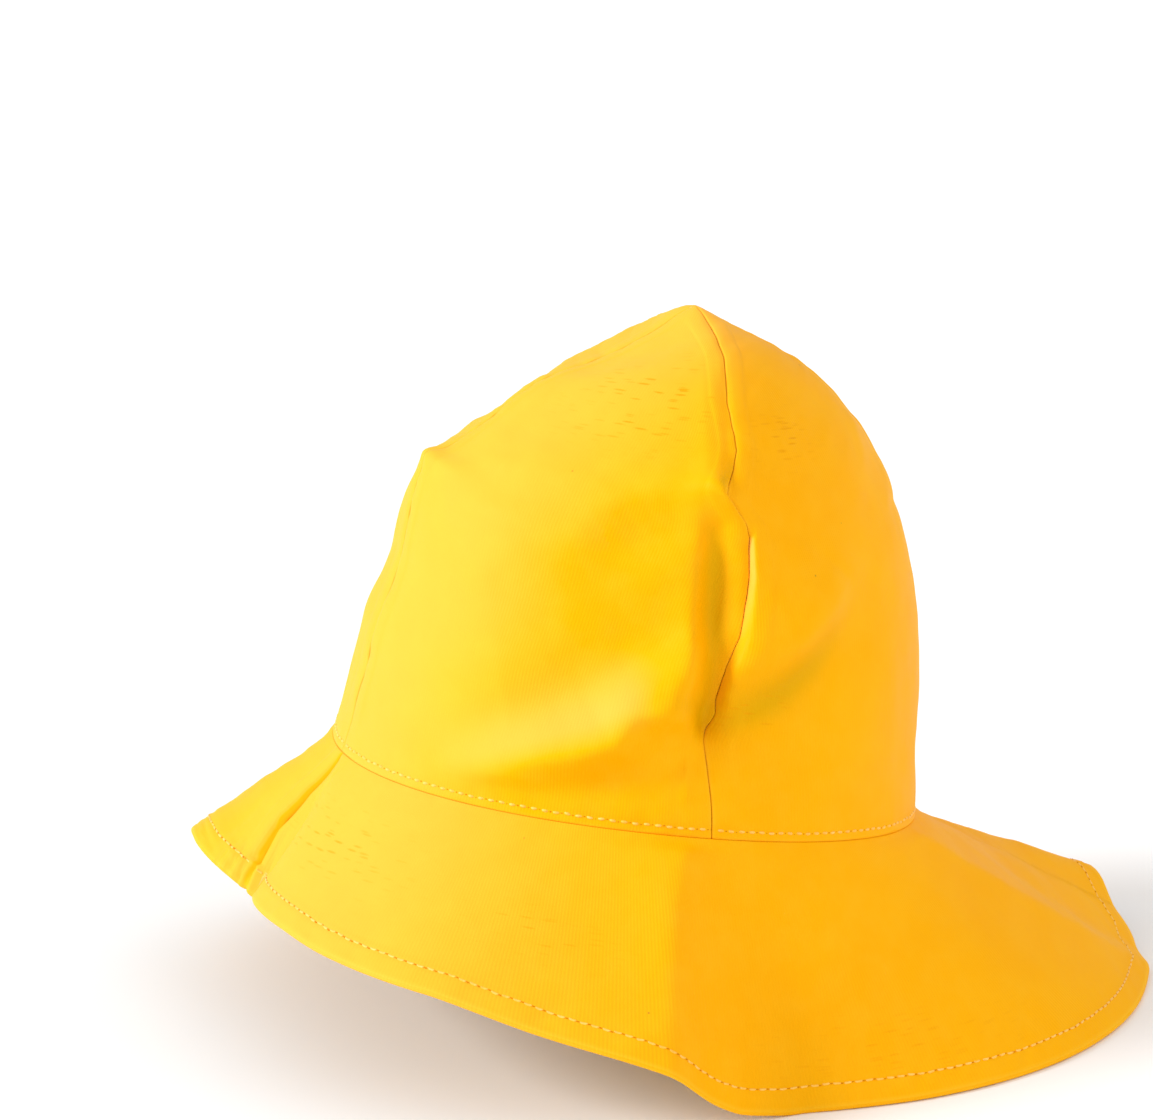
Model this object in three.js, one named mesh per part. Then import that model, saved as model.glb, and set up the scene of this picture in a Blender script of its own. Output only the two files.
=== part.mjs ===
// A sou'wester rain hat of coated cotton cloth: a crown of four sewn gores, and a brim cut in one piece,
// short over the forehead and long over the neck, that is closed by one seam at the front. It rests on the
// rim of its brim, with the front of the brim raised. +Z is up, the front of the hat faces -Y, the wearer's
// left is +X, and the surface that it rests on is z = 0.
import * as THREE from "three";

// Driving dimensions, in millimetres
const ringDepth = 193; // the crown's lower edge, front to back
const ringWidth = 183; // the crown's lower edge, side to side
const ringFrontHeight = 91; // the crown's lower edge above the surface, at the front
const ringSideHeight = 79.5; // the same, at the sides
const ringBackHeight = 60; // the same, at the back
const crownTop = 233; // the top of the crown above the surface
const crownLean = 23.5; // how far the top of the crown lies behind the middle of its lower edge
const brimReach = 79; // how far the rim stands out past the crown's lower edge, at the back
const frontLift = 47; // how far the rim is raised at the front
const cloth = 1.2; // one layer of the coated cloth
const seamGap = 0.3; // between two sewn pieces
const seamAllowance = 8; // cloth turned in along the edges of each gore and along the brim's seam
const upstand = 9; // cloth of the brim turned up inside the crown
const hemWidth = 8; // cloth turned under along the rim
const layerStep = 0.5; // how soon a doubled edge ends
const crownDent = 12; // the deepest dent in the crown
const brimFold = 8; // the deepest fold in the brim

const coatedCloth = { color: 0xffcf1a, roughness: 0.5, metalness: 0 };

// The crown from its lower edge (along 0) to its top (along 1). front, side and back say how far each seam
// stands out from the crown's middle line, as shares of half the lower edge's size; lean is a share of
// crownLean; ridge says how flat the gores are between their seams.
const crownSections = [
  { along: 0.0, front: 1.0, side: 1.0, back: 1.0, lean: 0.0, ridge: 0.0 },
  { along: 0.06, front: 0.96, side: 1.0, back: 1.0, lean: 0.0, ridge: 0.0 },
  { along: 0.18, front: 0.91, side: 0.99, back: 1.0, lean: 0.05, ridge: 0.05 },
  { along: 0.34, front: 0.89, side: 0.935, back: 0.925, lean: 0.36, ridge: 0.12 },
  { along: 0.5, front: 0.84, side: 0.84, back: 0.83, lean: 0.58, ridge: 0.24 },
  { along: 0.54, front: 0.78, side: 0.806, back: 0.8, lean: 0.6, ridge: 0.28 },
  { along: 0.71, front: 0.52, side: 0.624, back: 0.59, lean: 0.7, ridge: 0.32 },
  { along: 0.86, front: 0.266, side: 0.323, back: 0.3, lean: 0.9, ridge: 0.3 },
  { along: 0.95, front: 0.102, side: 0.118, back: 0.11, lean: 1.0, ridge: 0.2 },
  { along: 1.0, front: 0.0, side: 0.0, back: 0.0, lean: 1.0, ridge: 0.0 },
];

// How high each seam has come, as a share of the height from the lower edge to the top.
const crownRises = [
  { along: 0.0, front: 0.0, side: 0.0, back: 0.0 },
  { along: 0.06, front: 0.083, side: 0.08, back: 0.074 },
  { along: 0.18, front: 0.252, side: 0.237, back: 0.216 },
  { along: 0.34, front: 0.465, side: 0.455, back: 0.409 },
  { along: 0.5, front: 0.672, side: 0.61, back: 0.59 },
  { along: 0.54, front: 0.695, side: 0.65, back: 0.63 },
  { along: 0.71, front: 0.818, side: 0.8, back: 0.8 },
  { along: 0.86, front: 0.892, side: 0.925, back: 0.9 },
  { along: 0.95, front: 0.955, side: 0.972, back: 0.955 },
  { along: 1.0, front: 1.0, side: 1.0, back: 1.0 },
];

// The dents of the crown, and its folds where deep is below 0. around is in degrees from the front towards
// the wearer's left; across and tall are shares of the crown's height; turned is in degrees; deep is a share
// of crownDent.
const crownDents = [
  { around: 62, along: 0.4, across: 0.22, tall: 0.19, turned: 0, deep: 0.5 },
  { around: 50, along: 0.2, across: 0.24, tall: 0.08, turned: 31, deep: -0.32 },
  { around: 57, along: 0.1, across: 0.22, tall: 0.07, turned: 20, deep: 0.22 },
  { around: 80, along: 0.4, across: 0.06, tall: 0.2, turned: -8, deep: 0.28 },
  { around: 86, along: 0.54, across: 0.12, tall: 0.05, turned: -49, deep: -0.25 },
  { around: 86, along: 0.2, across: 0.06, tall: 0.06, turned: 0, deep: 0.35 },
  { around: 83, along: 0.7, across: 0.05, tall: 0.16, turned: 0, deep: 0.14 },
  { around: 103, along: 0.24, across: 0.24, tall: 0.07, turned: 31, deep: 0.4 },
  { around: 128, along: 0.42, across: 0.3, tall: 0.2, turned: 20, deep: 0.12 },
  { around: 328, along: 0.69, across: 0.3, tall: 0.24, turned: 0, deep: 0.4 },
  { around: 285, along: 0.32, across: 0.25, tall: 0.2, turned: -25, deep: 0.3 },
  { around: 225, along: 0.3, across: 0.26, tall: 0.14, turned: 20, deep: 0.25 },
];

// The rim, in degrees round the hat from the front to the back: reach is a share of brimReach and lift a
// share of frontLift, on the wearer's left and right.
const rimSections = [
  { around: 0, leftReach: 0.38, leftLift: 0.94, rightReach: 0.38, rightLift: 0.94 },
  { around: 7, leftReach: 0.45, leftLift: 1.07, rightReach: 0.46, rightLift: 1.1 },
  { around: 20, leftReach: 0.52, leftLift: 1.07, rightReach: 0.59, rightLift: 1.17 },
  { around: 32, leftReach: 0.58, leftLift: 1.03, rightReach: 0.66, rightLift: 1.0 },
  { around: 47, leftReach: 0.62, leftLift: 0.95, rightReach: 0.66, rightLift: 0.8 },
  { around: 63, leftReach: 0.61, leftLift: 0.72, rightReach: 0.62, rightLift: 0.4 },
  { around: 77, leftReach: 0.6, leftLift: 0.46, rightReach: 0.57, rightLift: 0.0 },
  { around: 84, leftReach: 0.53, leftLift: 0.19, rightReach: 0.57, rightLift: 0.0 },
  { around: 90, leftReach: 0.47, leftLift: 0.04, rightReach: 0.58, rightLift: 0.0 },
  { around: 96, leftReach: 0.46, leftLift: 0.0, rightReach: 0.59, rightLift: 0.0 },
  { around: 101, leftReach: 0.49, leftLift: 0.0, rightReach: 0.61, rightLift: 0.0 },
  { around: 114, leftReach: 0.61, leftLift: 0.0, rightReach: 0.66, rightLift: 0.0 },
  { around: 139, leftReach: 0.84, leftLift: 0.0, rightReach: 0.82, rightLift: 0.0 },
  { around: 161, leftReach: 1.0, leftLift: 0.0, rightReach: 1.04, rightLift: 0.0 },
  { around: 168, leftReach: 1.05, leftLift: 0.0, rightReach: 1.1, rightLift: 0.13 },
  { around: 172, leftReach: 1.07, leftLift: 0.06, rightReach: 1.13, rightLift: 0.28 },
  { around: 180, leftReach: 1.1, leftLift: 0.17, rightReach: 1.1, rightLift: 0.17 },
];

// The folds that run down the brim, and the ridges where deep is below 0: around and wide are in degrees,
// starts is the share of the brim's slope where a fold begins, and deep is a share of brimFold.
const brimFolds = [
  { around: 0, wide: 6, starts: 0.0, deep: 0.5 },
  { around: 88, wide: 7, starts: 0.2, deep: 0.25 },
  { around: 168, wide: 5, starts: 0.1, deep: 0.25 },
  { around: 188, wide: 5, starts: 0.1, deep: -0.25 },
];

const half = { depth: ringDepth / 2, width: ringWidth / 2 };
const rad = THREE.MathUtils.degToRad;
const turnOf = 2 * Math.PI;

// Smooth reading of one column of a table, with no overshoot between its rows.
function read(table, key, column, at) {
  const last = table.length - 1;
  let i = 0;
  while (i < last - 1 && at > table[i + 1][key]) i += 1;
  const slope = (k) => (table[k + 1][column] - table[k][column]) / (table[k + 1][key] - table[k][key]);
  const tangent = (k) => {
    if (k === 0) return slope(0);
    if (k === last) return slope(last - 1);
    const before = slope(k - 1);
    const after = slope(k);
    return before * after <= 0 ? 0 : (2 * before * after) / (before + after);
  };
  const span = table[i + 1][key] - table[i][key];
  const t = THREE.MathUtils.clamp((at - table[i][key]) / span, 0, 1);
  const rise = t * t * (3 - 2 * t);
  const bend = tangent(i) * t * (1 - t) ** 2 - tangent(i + 1) * t * t * (1 - t);
  return table[i][column] * (1 - rise) + table[i + 1][column] * rise + span * bend;
}

// The crown's outer surface

// A height that passes through its values at the front, the sides and the back.
const heightBetween = (front, side, back, share) =>
  side + ((front - back) / 2) * share + ((front + back) / 2 - side) * share * share;

function smoothCrown(around, along) {
  const row = (column) => read(crownSections, "along", column, along);
  const ridge = row("ridge");
  const flatten = (x) => Math.sign(x) * ((1 - ridge) * Math.abs(x) + ridge * x * x);
  const ahead = flatten(Math.cos(around));
  const reach = half.depth * (ahead > 0 ? row("front") : row("back"));
  const climb = (ringHeight, seam) =>
    ringHeight + (crownTop - ringHeight) * read(crownRises, "along", seam, along);
  const heights = [
    climb(ringFrontHeight, "front"),
    climb(ringSideHeight, "side"),
    climb(ringBackHeight, "back"),
  ];
  return new THREE.Vector3(
    half.width * row("side") * flatten(Math.sin(around)),
    crownLean * row("lean") - reach * ahead,
    heightBetween(...heights, ahead),
  );
}

const probe = 0.012; // the step, in radians and in shares of the way up, that slopes are measured over
const poleMargin = 0.97; // above this share of the way up, slopes are taken from just below

function crownNormalOf(surface, around, along) {
  const level = THREE.MathUtils.clamp(along, probe, poleMargin);
  const across = surface(around + probe, level).sub(surface(around - probe, level));
  const up = surface(around, level + probe).sub(surface(around, level - probe));
  return across.cross(up).normalize();
}

const crownHeight = crownTop - ringSideHeight;
const clothRise = 1.33 * crownHeight; // the way up the cloth from the lower edge to the top, on a curve
const dentFade = 0.08; // the share of that way in which dents fade out, above the upstand and at the top

function dentDepth(around, along) {
  let depth = 0;
  for (const dent of crownDents) {
    let turn = around - rad(dent.around);
    turn -= turnOf * Math.round(turn / turnOf);
    const sideways = turn * half.width * read(crownSections, "along", "side", along);
    const upwards = (along - dent.along) * clothRise;
    const [c, s] = [Math.cos(rad(dent.turned)), Math.sin(rad(dent.turned))];
    const a = (sideways * c + upwards * s) / (dent.across * crownHeight);
    const b = (upwards * c - sideways * s) / (dent.tall * crownHeight);
    depth += dent.deep * crownDent * Math.exp(-a * a - b * b);
  }
  const sewn = (upstand + seamGap) / clothRise;
  const { smoothstep } = THREE.MathUtils;
  return depth * smoothstep(along, sewn, sewn + dentFade) * smoothstep(1 - along, 0, dentFade);
}

function crownPoint(around, along) {
  const dent = dentDepth(around, along);
  return smoothCrown(around, along).addScaledVector(crownNormalOf(smoothCrown, around, along), -dent);
}

const crownNormal = (around, along) => crownNormalOf(crownPoint, around, along);

// Solids of cloth: a grid of points on the outer face, the same grid on the inner face, and the four edges
// between them. The grids run round the hat first, and then upwards.
function clothSolid(name, outer, inner) {
  const columns = outer.length;
  const rows = outer[0].length;
  const positions = [];
  for (const grid of [outer, inner]) {
    for (const column of grid) {
      for (const point of column) positions.push(point.x, point.y, point.z);
    }
  }
  const at = (face, i, j) => (face * columns + i) * rows + j;
  const point = (n) => new THREE.Vector3(positions[3 * n], positions[3 * n + 1], positions[3 * n + 2]);
  const index = [];
  const quad = (a, b, c, d) => {
    const shortcut = point(a).distanceTo(point(c)) <= point(b).distanceTo(point(d));
    if (shortcut) index.push(a, b, c, a, c, d);
    else index.push(a, b, d, b, c, d);
  };
  for (let i = 0; i < columns - 1; i += 1) {
    for (let j = 0; j < rows - 1; j += 1) {
      quad(at(0, i, j), at(0, i + 1, j), at(0, i + 1, j + 1), at(0, i, j + 1));
      quad(at(1, i + 1, j), at(1, i, j), at(1, i, j + 1), at(1, i + 1, j + 1));
    }
    quad(at(0, i + 1, 0), at(0, i, 0), at(1, i, 0), at(1, i + 1, 0));
    quad(at(0, i, rows - 1), at(0, i + 1, rows - 1), at(1, i + 1, rows - 1), at(1, i, rows - 1));
  }
  for (let j = 0; j < rows - 1; j += 1) {
    quad(at(0, 0, j), at(0, 0, j + 1), at(1, 0, j + 1), at(1, 0, j));
    quad(at(0, columns - 1, j + 1), at(0, columns - 1, j), at(1, columns - 1, j), at(1, columns - 1, j + 1));
  }
  const geometry = new THREE.BufferGeometry();
  geometry.setAttribute("position", new THREE.Float32BufferAttribute(positions, 3));
  geometry.setIndex(index);
  geometry.computeVertexNormals();
  const mesh = new THREE.Mesh(geometry, new THREE.MeshStandardMaterial(coatedCloth));
  mesh.name = name;
  return mesh;
}

// The crown: each gore is one layer, doubled along its edges where the seam allowance is turned in
const goreColumns = 12; // between its doubled edges
const goreRows = 16; // above its doubled lower edge
const topGap = 1.2; // the radius at which the gores stop, just short of the point where they would meet
const widestEdge = 0.35; // the most of a gore's width that one doubled edge takes, near the top
const widestStep = 0.05; // the same, for the step at the doubled edge
const quarter = Math.PI / 2;

function crownGore(name, seam) {
  const lowerEdge = seamAllowance / clothRise;
  const goreTop = 1 - (2 * topGap) / clothRise;
  const levels = [0, lowerEdge];
  for (let j = 0; j <= goreRows; j += 1) {
    levels.push(THREE.MathUtils.lerp(lowerEdge + layerStep / clothRise, goreTop, j / goreRows));
  }
  const columnAt = (i, along) => {
    const radius = half.width * read(crownSections, "along", "side", along);
    const width = radius * quarter;
    const inset = seamGap / 2 / radius;
    const edge = quarter * Math.min(seamAllowance / width, widestEdge);
    const step = quarter * Math.min(layerStep / width, widestStep);
    if (i === -2) return inset;
    if (i === -1) return edge;
    if (i === goreColumns + 1) return quarter - edge;
    if (i === goreColumns + 2) return quarter - inset;
    return THREE.MathUtils.lerp(edge + step, quarter - edge - step, i / goreColumns);
  };
  const outer = [];
  const inner = [];
  for (let i = -2; i <= goreColumns + 2; i += 1) {
    const sideDoubled = i < 0 || i > goreColumns;
    const around = levels.map((along) => seam + columnAt(i, along));
    const points = levels.map((along, j) => crownPoint(around[j], along));
    outer.push(points);
    inner.push(levels.map((along, j) => {
      const thickness = sideDoubled || j < 2 ? 2 * cloth : cloth;
      return points[j].clone().addScaledVector(crownNormal(around[j], along), -thickness);
    }));
  }
  return clothSolid(name, outer, inner);
}

// The brim: one layer, turned up inside the crown, doubled along its seam and along the rim, where it is
// pressed flat by the surface that it rests on
const brimColumns = 76;
const brimRows = 9; // between the hem and the crown
const upstandGap = 1.5 * seamGap; // between the crown's doubled edge and the cloth turned up inside it
const pressedFrom = 0.5; // the share of the brim's slope below which a resting rim presses the folds flat
const sharpestTurn = 0.5; // the least cosine at which a doubled corner keeps its full thickness

function brimProfile(around) {
  const ring = crownPoint(around, 0);
  const outward = new THREE.Vector3(ring.x, ring.y, 0).normalize();
  const ringRadius = Math.hypot(ring.x, ring.y);
  const above = crownPoint(around, probe);
  const climb = new THREE.Vector2(above.dot(outward) - ringRadius, above.z - ring.z).normalize();
  const intoCrown = new THREE.Vector2(-climb.y, climb.x);
  const fromRing = (up, inwards) =>
    new THREE.Vector2(ringRadius, ring.z).addScaledVector(climb, up).addScaledVector(intoCrown, inwards);

  const left = Math.sin(around) >= 0 ? "left" : "right";
  const degrees = THREE.MathUtils.radToDeg(Math.acos(THREE.MathUtils.clamp(Math.cos(around), -1, 1)));
  const reach = brimReach * read(rimSections, "around", left + "Reach", degrees);
  const lift = frontLift * read(rimSections, "around", left + "Lift", degrees);
  const seat = fromRing(-2 * seamGap, seamGap);
  const rim = new THREE.Vector2(ringRadius + reach, lift);
  const slope = rim.clone().sub(seat);
  const length = slope.length();
  const hemShare = 1 - hemWidth / length;
  const shares = [1, hemShare, hemShare - layerStep / length];
  for (let j = 1; j < brimRows; j += 1) shares.push((hemShare - layerStep / length) * (1 - j / brimRows));
  shares.push(0);
  const lifted = new THREE.Vector2(-slope.y, slope.x).normalize();
  const resting = 1 - Math.min(1, lift / brimFold);
  const outer = shares.map((share) => {
    let depth = 0;
    for (const fold of brimFolds) {
      let turn = around - rad(fold.around);
      turn -= turnOf * Math.round(turn / turnOf);
      const far = turn / rad(fold.wide);
      const pressed = 1 - resting * THREE.MathUtils.smoothstep(share, pressedFrom, 1);
      const grown = THREE.MathUtils.smoothstep(share, fold.starts, 1) * pressed;
      depth += fold.deep * brimFold * grown * Math.exp(-far * far);
    }
    return seat.clone().addScaledVector(slope, share).addScaledVector(lifted, -depth);
  });
  const inside = 2 * cloth + upstandGap;
  outer.push(fromRing(-2 * seamGap, inside), fromRing(upstand, inside));
  return { outer, outward };
}

// The other face of a folded strip of cloth, seen from its end: each point moves square to the cloth.
function offsetPoint(points, j, thickness) {
  const square = (from, to) => new THREE.Vector2(to.y - from.y, from.x - to.x).normalize();
  const before = j > 0 ? square(points[j - 1], points[j]) : null;
  const after = j < points.length - 1 ? square(points[j], points[j + 1]) : null;
  const first = before ?? after;
  const second = after ?? before;
  const middle = first.clone().add(second).normalize();
  const stretch = thickness / Math.max(middle.dot(first), sharpestTurn);
  return points[j].clone().addScaledVector(middle, -stretch);
}

function brim() {
  const outer = [];
  const inner = [];
  const edge = seamAllowance / half.depth;
  const step = layerStep / half.depth;
  const arounds = [seamGap / 2 / half.depth, edge];
  for (let i = 0; i <= brimColumns; i += 1) {
    arounds.push(THREE.MathUtils.lerp(edge + step, turnOf - edge - step, i / brimColumns));
  }
  arounds.push(turnOf - edge, turnOf - seamGap / 2 / half.depth);
  arounds.forEach((around, i) => {
    const profile = brimProfile(around);
    const place = (point) => profile.outward.clone().multiplyScalar(point.x).setZ(point.y);
    const seamDoubled = i < 2 || i > arounds.length - 3;
    const innerProfile = profile.outer.map((point, j) => {
      const thickness = seamDoubled || j < 2 ? 2 * cloth : cloth;
      return offsetPoint(profile.outer, j, thickness);
    });
    if (innerProfile[0].y < 0) {
      const along = innerProfile[1].clone().sub(innerProfile[0]);
      innerProfile[0].addScaledVector(along, -innerProfile[0].y / along.y);
    }
    outer.push(profile.outer.map(place));
    inner.push(innerProfile.map(place));
  });
  return clothSolid("brim", outer, inner);
}

const hat = new THREE.Group();
hat.add(crownGore("crown_gore_front_left", 0));
hat.add(crownGore("crown_gore_back_left", Math.PI / 2));
hat.add(crownGore("crown_gore_back_right", Math.PI));
hat.add(crownGore("crown_gore_front_right", 1.5 * Math.PI));
hat.add(brim());

// The middle of the brim's footprint goes over the origin.
const footprint = new THREE.Box3().setFromObject(hat).getCenter(new THREE.Vector3());
hat.position.set(-footprint.x, -footprint.y, 0);

export default hat;
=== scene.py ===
# A sou'wester rain hat of coated cotton cloth. The frame gives its place and size, and this script dresses it:
# four crown gores and the brim as sheets of cloth with seams, folds and a turned hem, their topstitching,
# the cloth's finish, and a pale floor under soft light.
# Lengths are in millimetres until a mesh is filled, and the front of the hat faces -Y.
import math

import bpy
import numpy as np
from mathutils import Matrix, Vector


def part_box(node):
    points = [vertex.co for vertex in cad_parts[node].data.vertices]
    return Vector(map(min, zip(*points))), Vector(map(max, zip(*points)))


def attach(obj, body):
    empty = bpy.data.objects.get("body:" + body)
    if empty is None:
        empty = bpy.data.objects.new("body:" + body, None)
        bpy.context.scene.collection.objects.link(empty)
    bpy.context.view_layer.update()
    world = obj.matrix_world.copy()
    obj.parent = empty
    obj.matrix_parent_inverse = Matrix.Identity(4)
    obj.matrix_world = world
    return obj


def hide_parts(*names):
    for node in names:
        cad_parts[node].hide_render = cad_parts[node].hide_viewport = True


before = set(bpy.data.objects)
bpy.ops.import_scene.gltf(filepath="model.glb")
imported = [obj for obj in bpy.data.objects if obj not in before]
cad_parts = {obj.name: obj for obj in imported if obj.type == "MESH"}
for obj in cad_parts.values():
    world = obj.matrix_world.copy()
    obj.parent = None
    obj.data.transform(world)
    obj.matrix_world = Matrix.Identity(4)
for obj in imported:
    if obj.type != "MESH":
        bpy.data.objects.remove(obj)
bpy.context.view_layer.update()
bpy.ops.object.select_all(action="DESELECT")

metre = 0.001  # a millimetre in metres
fullTurn = 2 * math.pi
quarterTurn = math.pi / 2

# the middle of the crown's lower edge, read from the first gore
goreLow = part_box("crown_gore_front_left")[0]

hatShape = {
    "ringDepth": 193.0,
    "ringWidth": 183.0,
    "ringFrontHeight": 91.0,
    "ringSideHeight": 79.5,
    "ringBackHeight": 60.0,
    "crownTop": 233.0,
    "crownLean": 23.5,
    "brimReach": 79.0,
    "frontLift": 47.0,
    "clothThickness": 1.1,
    "seamGap": 0.03,
    "seamAllowance": 8.0,
    "upstand": 9.0,
    "crownDent": 12.0,
    "brimFold": 8.0,
    "clothLength": 1.33,  # from the lower edge to the tip, as a share of the crown's height
    "doubledFrom": 1.2,  # where a turned-in edge starts and ends to double the cloth, from its fold
    "doubledTo": 8.2,
}
solidGap = 0.15  # half the gap between two solid gores
halfDepth = hatShape["ringDepth"] / 2
halfWidth = hatShape["ringWidth"] / 2
crownHeight = hatShape["crownTop"] - hatShape["ringSideHeight"]
clothRise = hatShape["clothLength"] * crownHeight
hatMiddle = np.array([goreLow.x / metre - solidGap, goreLow.y / metre + halfDepth, 0.0])

# Finishes


class Signal:
    # a socket's value in a material; arithmetic on it adds Math nodes
    def __init__(self, finish, socket):
        self.finish = finish
        self.socket = socket

    def math(self, operation, first, second=0.0):
        return self.finish.node("ShaderNodeMath", {"operation": operation}, {0: first, 1: second})

    def __add__(self, other):
        return self.math("ADD", self, other)

    def __radd__(self, other):
        return self.math("ADD", other, self)

    def __sub__(self, other):
        return self.math("SUBTRACT", self, other)

    def __rsub__(self, other):
        return self.math("SUBTRACT", other, self)

    def __mul__(self, other):
        return self.math("MULTIPLY", self, other)

    def __rmul__(self, other):
        return self.math("MULTIPLY", other, self)

    def __truediv__(self, other):
        return self.math("DIVIDE", self, other)

    def clamped(self):
        return self.finish.node("ShaderNodeClamp", {}, {"Value": self})

    def above(self, low, high):
        # 0 below low, 1 above high
        return ((self - low) / (high - low)).clamped()


class Finish:
    # a material under construction
    def __init__(self, name):
        self.material = bpy.data.materials.new(name)
        self.material.use_nodes = True
        self.tree = self.material.node_tree
        self.tree.nodes.clear()
        self.place = self.node("ShaderNodeTexCoord", {}, {}, "Object")

    def node(self, kind, settings, inputs, outlet=0):
        made = self.tree.nodes.new(kind)
        for key, value in settings.items():
            setattr(made, key, value)
        for key, value in inputs.items():
            if isinstance(value, Signal):
                self.tree.links.new(value.socket, made.inputs[key])
            else:
                made.inputs[key].default_value = value
        return Signal(self, made.outputs[outlet])

    def mixColour(self, factor, first, second):
        return self.node("ShaderNodeMix", {"data_type": "RGBA"}, {0: factor, 6: first, 7: second}, 2)

    def attribute(self, name, outlet="Fac"):
        return self.node("ShaderNodeAttribute", {"attribute_name": name}, {}, outlet)

    def noise(self, scale, detail, roughness=0.55, distortion=0.0):
        inputs = {"Scale": scale, "Detail": detail, "Roughness": roughness, "Distortion": distortion}
        return self.node("ShaderNodeTexNoise", {}, {"Vector": self.place, **inputs})

    def cells(self, vector, scale):
        # how near the middle of a cell is, and a number that differs from cell to cell
        kind = {"feature": "F1", "voronoi_dimensions": "3D"}
        inputs = {"Vector": vector, "Scale": scale}
        near = self.node("ShaderNodeTexVoronoi", kind, inputs, "Distance")
        colour = self.node("ShaderNodeTexVoronoi", kind, inputs, "Color")
        return near, self.node("ShaderNodeSeparateColor", {}, {"Color": colour}, 0)

    def bump(self, strength, distance, height):
        return self.node("ShaderNodeBump", {}, {"Strength": strength, "Distance": distance, "Height": height})

    def surface(self, inputs):
        shader = self.node("ShaderNodeBsdfPrincipled", {}, inputs)
        output = self.tree.nodes.new("ShaderNodeOutputMaterial")
        self.tree.links.new(shader.socket, output.inputs["Surface"])
        return self.material


clothLook = {
    "yellow": (1.0, 0.455, 0.0, 1),
    "deepYellow": (0.96, 0.395, 0.0, 1),
    "paleYellow": (1.0, 0.58, 0.03, 1),
    # the next two colours: painted shade for the hollows and creases, and painted light for the lit folds, the
    # lip of the left seam and the front
    "hollow": (0.74, 0.385, 0.0, 1),
    "paintedLight": (1.0, 0.53, 0.11, 1),
    "speck": (0.28, 0.13, 0.02, 1),
    "scuff": (0.84, 0.31, 0.0, 1),
    "cloudShare": 0.55,
    "mottleShare": 0.16,
    "twillShare": 0.07,
    "wornShare": 0.35,
    "scuffShare": 0.9,
    "speckShare": 0.55,
    "speckScale": 62.0,
    "roughness": 0.5,
    "specular": 0.045,
    "twillPitch": 0.001,
    "bumpDistance": 0.0004,
}


def coatedCloth():
    look = clothLook
    finish = Finish("coated_cloth_yellow")
    grain = finish.attribute("grain", "Vector")
    wear = finish.attribute("edgeWear")
    scuffed = finish.attribute("scuffs")
    paintedLightShade = finish.attribute("paintedLightAndShade")

    bands = {"Scale": fullTurn / 20 / look["twillPitch"], "Distortion": 0.5, "Detail": 1.0, "Detail Scale": 0.3}
    twill = finish.node(
        "ShaderNodeTexWave", {"wave_type": "BANDS", "bands_direction": "X"}, {"Vector": grain, **bands}
    )
    cloudy = finish.noise(14.0, 3.0)
    mottled = finish.noise(90.0, 4.0, 0.6)
    fine = finish.noise(2600.0, 2.0)
    crumple = finish.noise(55.0, 5.0, 0.5, 0.4)

    # small dark specks, and short scuffs across the grain in a few places
    speckNear, pick = finish.cells(finish.place, look["speckScale"])
    specks = (1 - speckNear.above(0.012, 0.03)) * pick.above(0.62, 0.66)
    stretched = finish.node("ShaderNodeMapping", {}, {"Vector": grain, "Scale": (150.0, 900.0, 1.0)})
    scuffNear, chosen = finish.cells(stretched, 1.0)
    scuffLines = (1 - scuffNear.above(0.2, 0.42)) * chosen.above(0.55, 0.6) * scuffed

    colour = finish.mixColour(cloudy.above(0.35, 0.68) * look["cloudShare"], look["yellow"], look["deepYellow"])
    colour = finish.mixColour(mottled.above(0.4, 0.75) * look["mottleShare"], colour, look["paleYellow"])
    colour = finish.mixColour((1 - twill) * look["twillShare"], colour, look["deepYellow"])
    colour = finish.mixColour(wear.above(0.35, 1.0) * look["wornShare"], colour, look["paleYellow"])
    # painted shade deepens the colour in the hollows and creases, then painted light pales it on the lit folds,
    # the lip of the left seam and the front
    colour = finish.mixColour(paintedLightShade.clamped(), colour, look["hollow"])
    colour = finish.mixColour((0 - paintedLightShade).clamped(), colour, look["paintedLight"])
    colour = finish.mixColour(scuffLines * look["scuffShare"], colour, look["scuff"])
    colour = finish.mixColour(specks * look["speckShare"], colour, look["speck"])

    rough = look["roughness"] + (mottled - 0.5) * 0.16 + (fine - 0.5) * 0.08 + scuffLines * 0.15
    height = twill * 0.16 + fine * 0.2 + crumple * 1.6 + scuffLines * -0.5
    bump = finish.bump(0.5, look["bumpDistance"], height)
    gloss = {"IOR": 1.5, "Specular IOR Level": look["specular"]}
    return finish.surface({**gloss, "Base Color": colour, "Roughness": rough, "Normal": bump})


def clothBacking():
    finish = Finish("cloth_backing_yellow")
    grain = finish.attribute("grain", "Vector")
    bands = {"Vector": grain, "Scale": 480.0, "Distortion": 0.6}
    warp = finish.node("ShaderNodeTexWave", {"bands_direction": "X"}, bands)
    weft = finish.node("ShaderNodeTexWave", {"bands_direction": "Y"}, bands)
    cloudy = finish.noise(22.0, 4.0)
    fuzz = finish.noise(1500.0, 2.0)
    colour = finish.mixColour(cloudy.above(0.3, 0.7) * 0.5, (0.9, 0.55, 0.09, 1), (0.82, 0.46, 0.05, 1))
    colour = finish.mixColour((warp * weft) * 0.25, colour, (0.98, 0.68, 0.2, 1))
    height = warp * weft + fuzz * 0.5
    bump = finish.bump(0.5, 0.0003, height)
    rough = 0.8 + (fuzz - 0.5) * 0.15
    return finish.surface({"Sheen Weight": 0.2, "Base Color": colour, "Roughness": rough, "Normal": bump})


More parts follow.
